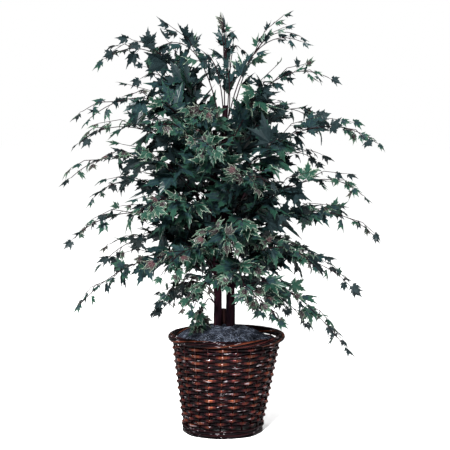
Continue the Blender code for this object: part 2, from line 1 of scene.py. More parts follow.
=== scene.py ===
"""The looks of an artificial maple tree in a wicker basket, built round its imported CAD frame.

The sprays grow by the rule that the frame's solids follow, carried on to finer wires and real-sized leaves.
The basket is woven strand by strand, the moss is laid in fibres and the stems get their bark.
"""

import json
import math
import random
from collections import namedtuple

import bpy
import numpy as np
from mathutils import Matrix, Vector, noise

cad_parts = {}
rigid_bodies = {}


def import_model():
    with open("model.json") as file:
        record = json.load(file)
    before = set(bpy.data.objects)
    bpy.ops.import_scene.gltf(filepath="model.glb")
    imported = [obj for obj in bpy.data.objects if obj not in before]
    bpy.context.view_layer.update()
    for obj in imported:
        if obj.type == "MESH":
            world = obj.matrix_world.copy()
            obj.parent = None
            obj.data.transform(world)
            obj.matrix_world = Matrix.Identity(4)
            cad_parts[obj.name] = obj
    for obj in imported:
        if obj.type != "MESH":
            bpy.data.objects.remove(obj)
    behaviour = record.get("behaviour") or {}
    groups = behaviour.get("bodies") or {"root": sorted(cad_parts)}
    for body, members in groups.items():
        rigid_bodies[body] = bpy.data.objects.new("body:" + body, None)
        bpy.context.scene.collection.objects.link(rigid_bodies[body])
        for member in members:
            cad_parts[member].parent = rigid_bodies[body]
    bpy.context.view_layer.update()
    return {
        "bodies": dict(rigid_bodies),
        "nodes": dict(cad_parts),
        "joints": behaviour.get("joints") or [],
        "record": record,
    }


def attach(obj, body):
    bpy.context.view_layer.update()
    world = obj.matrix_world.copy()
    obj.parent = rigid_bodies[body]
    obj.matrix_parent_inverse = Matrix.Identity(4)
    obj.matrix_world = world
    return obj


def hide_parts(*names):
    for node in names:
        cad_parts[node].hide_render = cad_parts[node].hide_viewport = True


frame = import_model()
NODES = frame["nodes"]

# ---- sizes of the frame, in metres, as its solids have them ----
CLEARANCE = 0.0003
BASKET_LEAN = 0.04
FOOT_RADIUS = 0.1125
WALL_TOP_RADIUS = 0.1557
WALL_TOP = 0.2625
WALL_THICKNESS = 0.007
STAKE_COUNT = 23
RIM_RADIUS = 0.1590
RIM_HEIGHT = 0.276
BLOCK_TOP = 0.238
MOSS_TOP = 0.304
MOSS_EDGE_HEIGHT = 0.264
MOSS_SHOULDER = 2.4  # how full the mound is: 1 is a cone
MOSS_TILT = 0.05  # fall towards +X for each metre
STEM_FOOT = BLOCK_TOP + CLEARANCE
# Each stem: the middle of its foot and of its tip, its top, its radius at both, and how far it wanders.
STEMS = {
    "left": ((-0.016, -0.006), (-0.024, 0.004), 0.87, (0.0125, 0.0070), 0.0045),
    "right": ((0.0215, 0.000), (0.004, -0.004), 0.94, (0.0142, 0.0065), 0.0050),
    "stub": ((0.0020, 0.029), (0.0010, 0.029), 0.352, (0.0095, 0.0085), 0.0),
}
STEM_WAVES = (1.1, 1.55)  # full waves that a stem wanders through along X and along Y
SIDES = ("right", "back", "left", "front")
SIDE_STEP = 0.006  # rise of the root from each of a tier's sprays to the next
# Each tier: the height of its first root, the share of a wire before its first leaf, and for each side's
# spray the degrees that it turns from that side's direction, its reach and its tip's height.
TIERS = (
    (0.366, 0.50, ((38, 0.320, 0.292), (38, 0.30, 0.325), (38, 0.115, 0.300), (38, 0.245, 0.352))),
    (0.392, 0.44, ((-20, 0.375, 0.268), (-20, 0.34, 0.330), (-20, 0.200, 0.378), (-20, 0.30, 0.395))),
    (0.424, 0.34, ((15, 0.415, 0.405), (15, 0.38, 0.420), (15, 0.430, 0.392), (15, 0.33, 0.425))),
    (0.462, 0.26, ((-30, 0.310, 0.500), (-30, 0.40, 0.480), (-30, 0.425, 0.466), (-30, 0.36, 0.490))),
    (0.508, 0.20, ((5, 0.458, 0.566), (5, 0.42, 0.560), (5, 0.445, 0.562), (5, 0.38, 0.560))),
    (0.560, 0.16, ((-18, 0.425, 0.690), (-18, 0.43, 0.660), (-18, 0.415, 0.672), (-42, 0.38, 0.650))),
    (0.618, 0.16, ((26, 0.330, 0.775), (26, 0.42, 0.740), (26, 0.465, 0.742), (20, 0.36, 0.725))),
    (0.680, 0.16, ((-8, 0.458, 0.835), (-8, 0.40, 0.830), (-8, 0.432, 0.833), (-12, 0.34, 0.815))),
    (0.745, 0.18, ((30, 0.330, 0.905), (30, 0.38, 0.865), (30, 0.450, 0.906), (-36, 0.31, 0.870))),
    (0.812, 0.24, ((-15, 0.332, 1.016), (60, 0.28, 1.020), (-15, 0.378, 1.076), (-20, 0.27, 0.905))),
)
# The crown's top: azimuth in degrees, reach and tip height of each spray near the right stem's tip.
TOP_SPRAYS = (
    (8, 0.248, 1.138),
    (62, 0.150, 1.106),
    (86, 0.120, 1.131),
    (165, 0.200, 1.110),
    (315, 0.048, 1.150),
    (344, 0.245, 1.118),
    (255, 0.170, 1.060),
)
TOP_ROOT = 0.868
TOP_ROOT_STEP = 0.0085
TOP_FIRST = 0.34
END_LEAF = 0.020  # part of a spray's reach that is the leaf at its tip
SOLID_SEGMENTS = 6  # of a main wire in the solid, whose length sets how many leaves it has
WIRE_SEGMENTS = 16
WIRE_STEP_OUT = 0.006  # length of the wire's first straight, square to the stem's surface
# How a wire arches: its rise above level at the stem in degrees, the length that it keeps to it as a share
# of the spray's span, and its fall at the tip. The wide sprays go from the low arch to the high one.
LOW_ARCH = (54, 0.46, 48)
HIGH_ARCH = {"right": (67, 0.60, 26), "left": (74, 0.66, 32)}
INNER_ARCH = (52, 0.40, 34)  # back and front
TOP_ARCH = (78, 0.62, 24)
ARCH_POWER = 3  # how late, with height, the arch turns to the high one
FALL_SHARE = 0.34
AZIMUTH_SPREAD = 5
SPRAY_SEED = 486
Spray = namedtuple("Spray", "name stem root azimuth reach tip arch first top")

# Side wires: shares of the main wire's length where they leave it, their own length as a share of the main
# wire's, and how they bend.
TWIG_FORKS = (0.36, 0.58)
TOP_FORKS = (0.58,)
TWIG_LEAVES = 4
TWIG_REACH = (0.36, 0.28)
TWIG_REACH_SPREAD = (0.9, 1.1)  # times the reach, at least and at most
TWIG_YAW = 28  # degrees between the main wire and a side wire, seen from above
TWIG_YAW_SPREAD = 9
TWIG_RISE = 0.18
TWIG_KNEE = 0.55
TWIG_BEND = 0.55

# Leaves: length from the petiole's end to the middle lobe's tip.
LEAF_SMALL = 0.038
LEAF_LARGE = 0.084
TOP_LEAF_LARGE = 0.060
SMALL_TO_TIP = 0.06  # leaves nearer than this to a wire's tip, along it, are small
LARGE_FROM_TIP = 0.22  # and leaves this much farther from it are large
TWIG_FROM_TIP = 0.03  # a side wire's tip counts as this far from the tip
LEAF_SIZE_SPREAD = (0.82, 1.16)  # times the length, at least and at most
LEAF_SPACING = 0.036  # from leaf to leaf along a main wire
GOLDEN_TURN = 137.5  # degrees from leaf to leaf round a main wire
TURN_SPREAD = 25  # degrees more or less than that
TWIG_TURN_SPREAD = 40  # the same on a side wire, where leaves stand left and right by turns
SPREAD = (28, 76)  # degrees between a leaf and its wire
TOP_SPREAD = (8, 34)  # the same in the crown's top, where leaves lie along their wires
END_SPREAD = 6  # the same, for the leaf at the wire's tip
DROOP = 0.22  # how far a leaf's tip hangs, as a share of its length
FACE_UP = 0.55  # what turns a leaf's face: towards the sky, away from the stems, and any way
FACE_OUT = 0.35
FACE_LOOSE = 0.75
PETIOLE = 0.18  # of the leaf's length
ROOT_SUNK = 0.0004  # how far a leaf's root passes the wire's axis
END_SUNK = 0.0012  # and how deep the leaf at a wire's tip goes into it, lengthways
UP = Vector((0, 0, 1))

# ---- sizes that only the looks have ----
WIRE_RADII = (0.0019, 0.0010)  # of a main wire, at the stem and at its tip
TWIG_RADII = (0.0013, 0.0008)  # of a side wire, at its root and at its tip
PETIOLE_RADII = (0.0008, 0.0006)
WIRE_SIDES = 5
PETIOLE_SIDES = 3
# The finer wires, which the solids leave out.
FINE_FORKS = (0.10, 0.20, 0.30, 0.46, 0.80)  # where they leave the main one
FINE_BEFORE = 0.26  # and how far before a spray's first leaf they start
FINE_YAW = (22, 50)
FINE_RISE = (0.05, 0.3)
FINE_REACH = (0.16, 0.24)  # their length as a share of the main wire's
FINE_END = 1.06  # the share of the main wire that none of them passes
FINE_LEAVES = 3
FINE_INNER = 0.4  # those that leave the main wire before this share have larger leaves
FINE_INNER_FROM_TIP = 0.5  # as if this share of the rest of the main wire came after them
FINE_SEED = 9000
# Leaves.
LEAF_SEED = 18000
LONG_PETIOLE = 0.42  # of a small leaf's length
PETIOLE_SWAY = (-0.2, 0.2)  # how far a petiole bows to the side, as a share of its length
PETIOLE_RISE = (-0.1, 0.2)  # and how far up
CLOTH = 0.0004  # between a leaf's upper and lower face
BIG_LEAF = 0.070  # longer leaves are the plain and dark sorts
SMALL_LEAF = 0.050  # shorter leaves are mostly the mottled sorts
FACE_SKY = 0.6  # a leaf's face looks to this much sky and this much outwards, or else it is turned over
FACE_SIDE = 0.8
FOLD = (-0.12, 0.75)  # rise of a leaf's halves for each unit across
TOP_FOLD = (0.8, 2.6)
LEAF_HANG = (0.0, 0.42)  # fall of a leaf's ends, as a share of its length
HANG_ALONG = 0.6  # share of that fall which grows along the leaf; the rest grows all ways from its heart
LEAF_TWIST = 0.4  # at most, either way
LEAF_BEND = 0.2
LARGE_LEAVED = {"spray_10_left": 1.3, "spray_top_4": 1.4, "spray_top_5": 1.25}  # times the usual leaf
TOP_DEEP = 0.6  # share of the top's leaves that are of the darkest sort

# Basket: a weaver, made of rods end to end, goes round and round, in front of a stake and behind the next.
WEAVER_PITCH = 0.0098  # rise for each turn round the basket
WEAVER_LOW = 0.0262
WEAVER_SWING = 0.0038  # in front of the wall's middle and behind it
WEAVER_CREST = 0.995  # how sharply it bends over a stake: 1 is a corner
WEAVER_HALF_THICK = 0.0024
WEAVER_HALF_TALL = (0.0040, 0.0002)  # mean, and how much more it is in front of a stake
WEAVER_STEPS = 12  # rings from stake to stake
ROD_STAKES = (3, 9)  # stakes that one rod runs past
ROD_BUTT = (0.95, 1.08)  # a rod's width at its thick end, times the usual
ROD_TIP = (0.88, 1.0)
PAINTED_HIGHLIGHT, ORANGE, RED, BROWN, BLACK = range(5)  # the wicker's colours, from the lightest to the darkest: the rods' stains, and steps of painted highlight and shade along a rod
ROD_COLOURS = (ORANGE, RED, ORANGE, RED, RED, BROWN)  # of its crests
PAINTED_HIGHLIGHT_FROM = 0.97  # share of the swing from which the corner over a stake is one step lighter, a painted highlight
CREST_FROM = 0.50  # share of the swing under which the rod is one step darker than its crest, painted shade
DIVE_BELOW = 0.0  # and under which it is two steps darker, painted shade as it goes behind a stake
STAKE_RADIUS = 0.0019
STAKE_LOW = 0.004
STAKE_SIDES = 6
RING_STEPS = 8  # steps from stake to stake, of the rods that run level
RIM_STRANDS = 10
RIM_TWISTS = 3
RIM_HELIX = 0.0078  # from the rim's middle to a strand's
RIM_STRAND = 0.0024
RIM_UNEVEN = 0.08  # of a strand's half size, more and less along it
RIM_SWELLS = 5
RIM_COLOURS = (BROWN, BLACK, ORANGE, BLACK, BROWN, RED, BLACK, ORANGE, BROWN, BLACK)
FOOT_STRANDS = 4  # round the foot, below the weaver
FOOT_STRAND = 0.0034
FOOT_PITCH = 0.0058
FOOT_WAVES = 8
FOOT_PHASE = 2.1  # from strand to strand
FOOT_INSET = 0.0012
FOOT_SWING = 0.0014  # of the foot's strands, in and out
FOOT_SWAY = 0.0006  # and up and down
FLOOR_RODS = 15  # rings of the basket's floor
FLOOR_ROD = 0.0036
FLOOR_EDGE = 0.006  # from the foot's edge to the outermost of them
FLOOR_FIRST = 0.6  # place of the innermost, in steps from the middle
FLOOR_SIDES = 6
BASKET_SEED = 23

# Moss: a mound, and loose fibres that lie on it.
MOSS_RADIUS = 0.143
MOSS_SKIRT = 0.1475  # where the mound ends, past its edge
SKIRT_FALL = 1.5  # fall of the skirt for each unit out
MOSS_RINGS = 26
MOSS_SIDES = 72
MOSS_LUMPS = ((0.0045, 32, 3.1), (0.002, 90, 7.7))  # height, scale and seed of each
MOSS_FIBRES = 2400
MOSS_SEED = 5
FIBRE_SPREAD = 0.142  # of the fibres' starts, from the middle
FIBRE_POINTS = 7
FIBRE_STEP = (0.0035, 0.0085)
FIBRE_LIFT = (0.0003, 0.0042)  # of its middle over the mound
FIBRE_CLEAR = 0.0006  # of its ends
FIBRE_CURL = 0.75  # radians at each step, all one way
FIBRE_KINK = 0.25  # and any way
FIBRE_RADIUS = (0.0003, 0.0008)
FIBRE_SIDES = 3
FIBRE_COLOURS = (1, 1, 2, 2, 3)  # places in the moss's materials, where 0 is the bed's

# Stems.
BARK_SIDES = 30
BARK_STEP = 0.004
BARK_RELIEF = 0.0011
BARK_SHARES = (0.9, 0.55, 0.7)  # of the relief, of its furrows, plates and swellings
BARK_FURROW = (3.4, 16)  # scale round the stem and along it
BARK_PLATE = (7.5, 34)
BARK_SWELL = (0.3, 9)  # place in the noise, and scale along the stem

# Stage.
STAGE_SIZE = 60
STAGE_BELOW = 0.0005
CAMERA_PLACE = (0.0072, -4.0, 0.94)
CAMERA_AIM = (0.0072, 0.0, 0.598)
LENS = 112.0
SENSOR = 36
LIGHTS = (  # name, place, size and power
    ("key", (-0.5, -3.4, 2.7), 0.4, 720),
    ("left", (-3.0, 1.2, 1.4), 0.3, 55),
    ("right", (3.0, 1.2, 1.4), 0.4, 25),
)
LIGHTS_AIM = (0, 0, 0.6)


# ---- mesh helpers ----
class Pile:
    """Vertices and faces that are piled up and then made into one mesh, each face with its material."""

    def __init__(self):
        self.verts, self.faces, self.slots, self.count = [], [], [], 0

    def add(self, verts, faces, slots):
        """Adds a shape. slots is one material number, or one for each face."""
        self.verts.append(np.asarray(verts, dtype=float))
        self.faces += [tuple(i + self.count for i in face) for face in faces]
        self.slots += [slots] * len(faces) if isinstance(slots, int) else list(slots)
        self.count += len(verts)

    def make(self, name, materials, smooth=False):
        mesh = bpy.data.meshes.new(name)
        mesh.from_pydata(np.concatenate(self.verts).tolist(), [], self.faces)
        for material in materials:
            mesh.materials.append(material)
        mesh.polygons.foreach_set("material_index", self.slots)
        mesh.polygons.foreach_set("use_smooth", [smooth] * len(self.faces))
        mesh.update()
        obj = bpy.data.objects.new(name, mesh)
        bpy.context.scene.collection.objects.link(obj)
        return obj


def ring_faces(rings, sides, closed=False):
    """Quads between rings of points, and the two end caps unless the rings close on themselves."""
    faces = []
    for i in range(rings if closed else rings - 1):
        a, b = i * sides, (i + 1) % rings * sides
        for j in range(sides):
            k = (j + 1) % sides
            faces.append((a + j, a + k, b + k, b + j))
    if not closed:
        faces.append(tuple(reversed(range(sides))))
        faces.append(tuple(range((rings - 1) * sides, rings * sides)))
    return faces


def tube(pile, points, radii, sides, slot):
    """A round wire along points, from the first radius to the last."""
    points = [Vector(p) for p in points]
    across = None
    verts = []
    last = len(points) - 1
    for i, point in enumerate(points):
        along = (points[min(i + 1, last)] - points[max(i - 1, 0)]).normalized()
        if across is None:
            across = along.orthogonal().normalized()
        across = (across - along * across.dot(along)).normalized()
        other = along.cross(across)
        radius = radii[0] + (radii[1] - radii[0]) * i / last
        for j in range(sides):
            turn = math.tau * j / sides
            verts.append(point + (across * math.cos(turn) + other * math.sin(turn)) * radius)
    pile.add(verts, ring_faces(len(points), sides), slot)


# ---- materials ----
def principled(name, colour, roughness, **sockets):
    material = bpy.data.materials.new(name)
    material.use_nodes = True
    shader = material.node_tree.nodes["Principled BSDF"]
    shader.inputs["Base Color"].default_value = (*colour, 1)
    shader.inputs["Roughness"].default_value = roughness
    for socket, value in sockets.items():
        shader.inputs[socket.replace("_", " ")].default_value = value
    return material, material.node_tree, shader


def pattern(tree, scale, stretch=(1, 1, 1), **settings):
    """Noise in the object's own space, stretched along its axes."""
    nodes, links = tree.nodes, tree.links
    place = nodes.new("ShaderNodeTexCoord")
    mapping = nodes.new("ShaderNodeMapping")
    mapping.inputs["Scale"].default_value = stretch
    links.new(place.outputs["Object"], mapping.inputs["Vector"])
    texture = nodes.new("ShaderNodeTexNoise")
    links.new(mapping.outputs["Vector"], texture.inputs["Vector"])
    texture.inputs["Scale"].default_value = scale
    for socket, value in settings.items():
        texture.inputs[socket].default_value = value
    return texture.outputs["Fac"]


def ramp(tree, source, stops):
    """The colour that the stops, each a place and a colour, give to the source."""
    node = tree.nodes.new("ShaderNodeValToRGB")
    elements = node.color_ramp.elements
    while len(elements) < len(stops):
        elements.new(0.5)
    for element, (place, colour) in zip(elements, stops):
        element.position = place
        element.color = (*colour, 1)
    tree.links.new(source, node.inputs["Fac"])
    return node.outputs["Color"]


def bump(tree, shader, source, strength, distance):
    node = tree.nodes.new("ShaderNodeBump")
    node.inputs["Strength"].default_value = strength
    node.inputs["Distance"].default_value = distance
    tree.links.new(source, node.inputs["Height"])
    tree.links.new(node.outputs["Normal"], shader.inputs["Normal"])


def tinted(colour, factor):
    return tuple(c * factor for c in colour)


def mottled(name, colour, spread, scale, roughness, relief, **sockets):
    """A material whose colour wanders a little either way, with relief from the same noise."""
    material, tree, shader = principled(name, colour, roughness, **sockets)
    patches = pattern(tree, scale, Detail=4.0, Roughness=0.6)
    stops = ((0.30, tinted(colour, 1 - spread)), (0.70, tinted(colour, 1 + spread)))
    tree.links.new(ramp(tree, patches, stops), shader.inputs["Base Color"])
    bump(tree, shader, patches, 0.6, relief)
    return material


# ---- growth rule of the sprays, as the frame's solids follow it ----
def stem_axis(name, height):
    """The middle of a stem at a height, and its radius there."""
    foot, tip, top, (low, high), wander = STEMS[name]
    share = (height - STEM_FOOT) / (top - STEM_FOOT)
    middle = Vector((*foot, 0)).lerp(Vector((*tip, 0)), share)
    middle.x += wander * math.sin(math.tau * STEM_WAVES[0] * share)
    middle.y += wander * math.sin(math.tau * STEM_WAVES[1] * share)
    middle.z = height
    return middle, low + (high - low) * share


def bezier(corners, t):
    a, b, c, d = corners
    return a * (1 - t) ** 3 + b * (3 * t * (1 - t) ** 2) + c * (3 * t * t * (1 - t)) + d * t**3


def on_line(points, share):
    """The point at a share of a line's length, and the direction of the line there."""
    steps = [(b - a).length for a, b in zip(points, points[1:])]
    left = share * sum(steps)
    for i, step in enumerate(steps):
        if left <= step or i == len(steps) - 1:
            break
        left -= step
    return points[i].lerp(points[i + 1], left / steps[i]), (points[i + 1] - points[i]).normalized()


def heading(azimuth, elevation):
    """A unit vector. Azimuth turns from +X towards +Y, and elevation is above level, both in degrees."""
    a, e = math.radians(azimuth), math.radians(elevation)
    return Vector((math.cos(a) * math.cos(e), math.sin(a) * math.cos(e), math.sin(e)))


def spray_list():
    """Every spray, from the lowest tier up."""
    sprays = []
    for tier, (root, first, row) in enumerate(TIERS):
        height = (tier / (len(TIERS) - 1)) ** ARCH_POWER
        for side, (turn, reach, tip) in enumerate(row):
            name = f"spray_{tier + 1:02d}_{SIDES[side]}"
            high_arch = HIGH_ARCH.get(SIDES[side])
            azimuth = 90 * side + turn
            stem = "left" if 90 < azimuth % 360 < 270 else "right"
            arch = INNER_ARCH
            if high_arch:
                arch = [low + (high - low) * height for low, high in zip(LOW_ARCH, high_arch)]
            sprays.append(Spray(name, stem, root + SIDE_STEP * side, azimuth, reach, tip, arch, first, False))
    for i, (azimuth, reach, tip) in enumerate(TOP_SPRAYS):
        name = f"spray_top_{i + 1}"
        root = TOP_ROOT + TOP_ROOT_STEP * i
        sprays.append(Spray(name, "right", root, azimuth, reach, tip, TOP_ARCH, TOP_FIRST, True))
    return sprays


def wire_line(spray, azimuth, segments):
    """The points of a spray's main wire: a straight out of the stem, and an arch to its tip."""
    middle, radius = stem_axis(spray.stem, spray.root)
    out = heading(azimuth, 0)
    start = middle + out * (radius + WIRE_STEP_OUT)
    end = out * (spray.reach - END_LEAF) + UP * spray.tip
    span = (end - start).length
    rise, rise_share, fall = spray.arch
    corners = (
        start,
        start + heading(azimuth, rise) * (rise_share * span),
        end - heading(azimuth, -fall) * (FALL_SHARE * span),
        end,
    )
    line = [start - WIRE_STEP_OUT * out]
    return line + [bezier(corners, i / segments) for i in range(segments + 1)]


def smoothstep(x):
    x = min(1.0, max(0.0, x))
    return x * x * (3 - 2 * x)


def leaf_length(from_tip, top, rng):
    """Leaves grow with their distance from the tip of the wire."""
    share = smoothstep((from_tip - SMALL_TO_TIP) / LARGE_FROM_TIP)
    large = TOP_LEAF_LARGE if top else LEAF_LARGE
    return (LEAF_SMALL + (large - LEAF_SMALL) * share) * rng.uniform(*LEAF_SIZE_SPREAD)


def leaf_frame(root, along, turn, spread, length, outward, rng):
    """A leaf's place: X runs along it, Y across it and Z out of its face, scaled to its length.

    Spread is the range of degrees between the leaf and its wire, or None for the leaf at the wire's tip.
    """
    last = spread is None
    spread = math.radians(END_SPREAD if last else rng.uniform(*spread))
    side = along.cross(UP).normalized()
    over = side.cross(along)
    axis = along * math.cos(spread) + (side * math.cos(turn) + over * math.sin(turn)) * math.sin(spread)
    axis.z -= 0 if last else DROOP
    axis.normalize()
    tilt = Vector([rng.uniform(-1, 1) for _ in range(3)])
    face = UP * FACE_UP + outward * FACE_OUT + tilt * FACE_LOOSE
    face = (face - axis * face.dot(axis)).normalized()
    across = face.cross(axis)
    frame = Matrix((axis, across, face)).transposed().to_4x4() @ Matrix.Scale(length, 4)
    frame.translation = root + axis * (PETIOLE * length - (END_SUNK if last else ROOT_SUNK))
    return frame


def side_wire(start, along, yaw_degrees, rise, reach):
    """The points of a side wire: it leaves the main one sideways and a little up, and bends at its knee."""
    yaw = Matrix.Rotation(math.radians(yaw_degrees), 3, "Z")
    away = (yaw @ along + UP * rise).normalized()
    knee = start + away * (TWIG_KNEE * reach)
    end = knee + (away - UP * TWIG_BEND).normalized() * ((1 - TWIG_KNEE) * reach)
    return [start, knee, end]


def spray_plan(number, spray):
    """What one spray is grown from: the points of its wires, the main one first, and its leaves, each with
    its frame and its length."""
    rng = random.Random(SPRAY_SEED + number)
    azimuth = spray.azimuth + rng.uniform(-AZIMUTH_SPREAD, AZIMUTH_SPREAD)
    outward = heading(azimuth, 0)
    spread = TOP_SPREAD if spray.top else SPREAD
    coarse = wire_line(spray, azimuth, SOLID_SEGMENTS)
    length = sum((b - a).length for a, b in zip(coarse, coarse[1:]))
    line = wire_line(spray, azimuth, WIRE_SEGMENTS)
    wires, leaves = [line], []
    stations = round((1 - spray.first) * length / LEAF_SPACING) + 1
    for k in range(stations):
        share = spray.first + (1 - spray.first) * k / (stations - 1)
        last = k == stations - 1
        size = leaf_length((1 - share) * length, spray.top, rng)
        turn = math.radians(GOLDEN_TURN * k + rng.uniform(-TURN_SPREAD, TURN_SPREAD))
        frame = leaf_frame(*on_line(line, share), turn, None if last else spread, size, outward, rng)
        leaves.append((frame, size))
    for fork, share in enumerate(TOP_FORKS if spray.top else TWIG_FORKS):
        start, along = on_line(line, share)
        sense = 1 if (fork + number) % 2 else -1
        yaw = sense * TWIG_YAW + rng.uniform(-TWIG_YAW_SPREAD, TWIG_YAW_SPREAD)
        reach = length * TWIG_REACH[fork] * rng.uniform(*TWIG_REACH_SPREAD)
        wires.append(side_wire(start, along, yaw, TWIG_RISE, reach))
        for k in range(TWIG_LEAVES):
            share = (k + 1) / TWIG_LEAVES
            last = k == TWIG_LEAVES - 1
            size = leaf_length((1 - share) * reach + TWIG_FROM_TIP, spray.top, rng)
            turn = math.radians(180 * k + rng.uniform(-TWIG_TURN_SPREAD, TWIG_TURN_SPREAD))
            spot = on_line(wires[-1], share)
            frame = leaf_frame(*spot, turn, None if last else spread, size, outward, rng)
            leaves.append((frame, size))
    return wires, leaves


# ---- leaves ----
# A leaf's lobes: direction in degrees, length and half width, as shares of the leaf's length.
LARGE_LOBES = ((-92, 0.50, 0.130), (-42, 0.82, 0.185), (0, 1.0, 0.205), (42, 0.82, 0.185), (92, 0.50, 0.130))
SMALL_LOBES = ((-88, 0.50, 0.130), (-42, 0.80, 0.180), (0, 1.0, 0.200), (42, 0.80, 0.180), (88, 0.50, 0.130))
# Half outline of a lobe, from its shoulder to its tip: along it, across it and height over its fold. Where it
# steps back across without going on along, the edge has a tooth.
LARGE_EDGE = (
    (0.36, 0.78, 0.040),
    (0.52, 1.00, 0.045),
    (0.54, 0.58, 0.028),
    (0.71, 0.70, 0.032),
    (0.73, 0.34, 0.016),
    (0.88, 0.14, 0.006),
)
SMALL_EDGE = ((0.44, 0.95, 0.040), (0.60, 0.84, 0.034), (0.64, 0.46, 0.020), (0.82, 0.22, 0.010))
BODY, EDGE, HEART, VEIN, UNDER = range(5)
SIDE_NOTCH = 0.68  # a notch beside an outermost lobe, as a share of the depth of the others
SIDE_NOTCH_FROM = 60  # degrees
BASE_NOTCH = 0.45  # the same, for the notch at the petiole
BASE_TURN = 50  # degrees from the last lobe to it
NOTCH_HEIGHTS = (0.03, 0.026)  # outer and inner
RIM_IN = (0.96, 0.82)  # a rim's inner line, along and across its lobe
RIM_IN_HEIGHT = 0.6
RIM_IN_ENDS = 0.86  # the same at the tips and in the notches
FOLD_PLACE = 0.46  # of a lobe's lowest point, along it
FOLD_DEPTH = 0.012
VEIN_HALF_WIDTH = 0.008
VEIN_LIFT = 0.004
VEIN_END = 0.84


class LeafShape:
    """A leaf one unit long: the points and faces of its upper side, and of its plainer under side. Sinus is
    how far the notches beside the middle lobe are from the leaf's heart."""

    def __init__(self, lobes, edge, sinus):
        self.points = [(0.0, 0.0, 0.0)]
        self.faces, self.regions = [], []
        self.lobes, self.edge, self.sinus = lobes, edge, sinus
        self.outline()
        self.fill(1)
        self.fill(-1)
        self.veins()
        self.points = np.array(self.points)
        self.count = len(self.points)
        under = [region == UNDER for region in self.regions]
        self.faces = [tuple(v + self.count * low for v in face) for face, low in zip(self.faces, under)]

    def spot(self, direction, along, across, height):
        turn = math.radians(direction)
        x, y = math.cos(turn), math.sin(turn)
        self.points.append((x * along - y * across, y * along + x * across, height))
        return len(self.points) - 1

    def notch(self, direction, reach):
        outer = self.spot(direction, reach, 0, NOTCH_HEIGHTS[0])
        return outer, self.spot(direction, reach * RIM_IN_ENDS, 0, NOTCH_HEIGHTS[1])

    def outline(self):
        """The outline, lobe by lobe: the pairs of outer and inner points, and each lobe's fold."""
        self.runs, self.folds = [], []
        before = self.notch(self.lobes[0][0] - BASE_TURN, self.sinus * BASE_NOTCH)
        for i, (direction, length, width) in enumerate(self.lobes):
            run = [before]
            for sense in (-1, 1):
                marks = self.edge if sense < 0 else self.edge[::-1]
                for share, out, height in marks:
                    along, across = share * length, sense * out * width
                    outer = self.spot(direction, along, across, height)
                    inner_height = height * RIM_IN_HEIGHT
                    inner = self.spot(direction, along * RIM_IN[0], across * RIM_IN[1], inner_height)
                    run.append((outer, inner))
                if sense < 0:
                    tip = self.spot(direction, length, 0, 0)
                    run.append((tip, self.spot(direction, length * RIM_IN_ENDS, 0, 0)))
            if i + 1 < len(self.lobes):
                between = (direction + self.lobes[i + 1][0]) / 2
                depth = SIDE_NOTCH if abs(between) > SIDE_NOTCH_FROM else 1
                before = self.notch(between, self.sinus * depth)
            else:
                before = self.notch(direction + BASE_TURN, self.sinus * BASE_NOTCH)
            run.append(before)
            self.runs.append(run)
            self.folds.append(self.spot(direction, length * FOLD_PLACE, 0, -FOLD_DEPTH))

    def fill(self, side):
        """Faces from the outline to the folds and the heart. Side is 1 for the upper side, with its rim, and
        -1 for the under side, which has none and is turned over."""
        ring = 1 if side > 0 else 0
        for run, fold in zip(self.runs, self.folds):
            for p, q in zip(run, run[1:]):
                if side > 0:
                    self.face((p[0], q[0], q[1], p[1]), EDGE, side)
                self.face((p[ring], q[ring], fold), BODY, side)
            self.face((0, run[0][ring], fold), HEART, side)
            self.face((0, fold, run[-1][ring]), HEART, side)

    def veins(self):
        """A thin raised line along each lobe, over its fold."""
        heart = self.spot(0, 0, 0, VEIN_LIFT)
        for direction, length, _ in self.lobes:
            low = self.spot(direction, length * FOLD_PLACE, -VEIN_HALF_WIDTH, VEIN_LIFT - FOLD_DEPTH)
            high = self.spot(direction, length * FOLD_PLACE, VEIN_HALF_WIDTH, VEIN_LIFT - FOLD_DEPTH)
            tip = self.spot(direction, length * VEIN_END, 0, VEIN_LIFT)
            self.face((heart, low, high), VEIN, 1)
            self.face((low, tip, high), VEIN, 1)

    def face(self, corners, region, side):
        self.faces.append(corners if side > 0 else corners[::-1])
        self.regions.append(region if side > 0 else UNDER)


LARGE_SHAPE = LeafShape(LARGE_LOBES, LARGE_EDGE, 0.53)
SMALL_SHAPE = LeafShape(SMALL_LOBES, SMALL_EDGE, 0.47)
WIRE_COLOUR = (0.0075, 0.0038, 0.0048)
LEAF_COLOURS = {
    "leaf_deep": (0.0052, 0.0122, 0.0146),
    "leaf_green": (0.0064, 0.0218, 0.0152),
    "leaf_fresh": (0.0130, 0.0310, 0.0205),
    # Pale margin colour: the small leaves' own variegation, and a painted highlight on the edges of larger
    # leaves.
    "leaf_edge": (0.092, 0.114, 0.088),
    "leaf_heart": (0.0120, 0.0085, 0.0100),
    "leaf_under": (0.0062, 0.0112, 0.0124),
    "leaf_red": (0.028, 0.0115, 0.0145),
}
LEAF_SLOTS = tuple(LEAF_COLOURS)
SORTS = {  # what a leaf's body, edge, heart and veins are made of
    "deep": ("leaf_deep", "leaf_green", "leaf_deep", "leaf_fresh"),
    "green": ("leaf_green", "leaf_fresh", "leaf_deep", "leaf_fresh"),
    # A pale rim: the small leaves' variegated margin, and on larger leaves a painted highlight for edges that
    # catch the light.
    "rimmed_and_edge_lit": ("leaf_green", "leaf_edge", "leaf_green", "leaf_fresh"),
    "mottled": ("leaf_fresh", "leaf_edge", "leaf_heart", "leaf_edge"),
    "brown": ("leaf_heart", "leaf_edge", "leaf_heart", "leaf_edge"),
    "plain": ("leaf_green", "leaf_fresh", "leaf_deep", "leaf_fresh"),
    "red": ("leaf_heart", "leaf_edge", "leaf_red", "leaf_edge"),
}
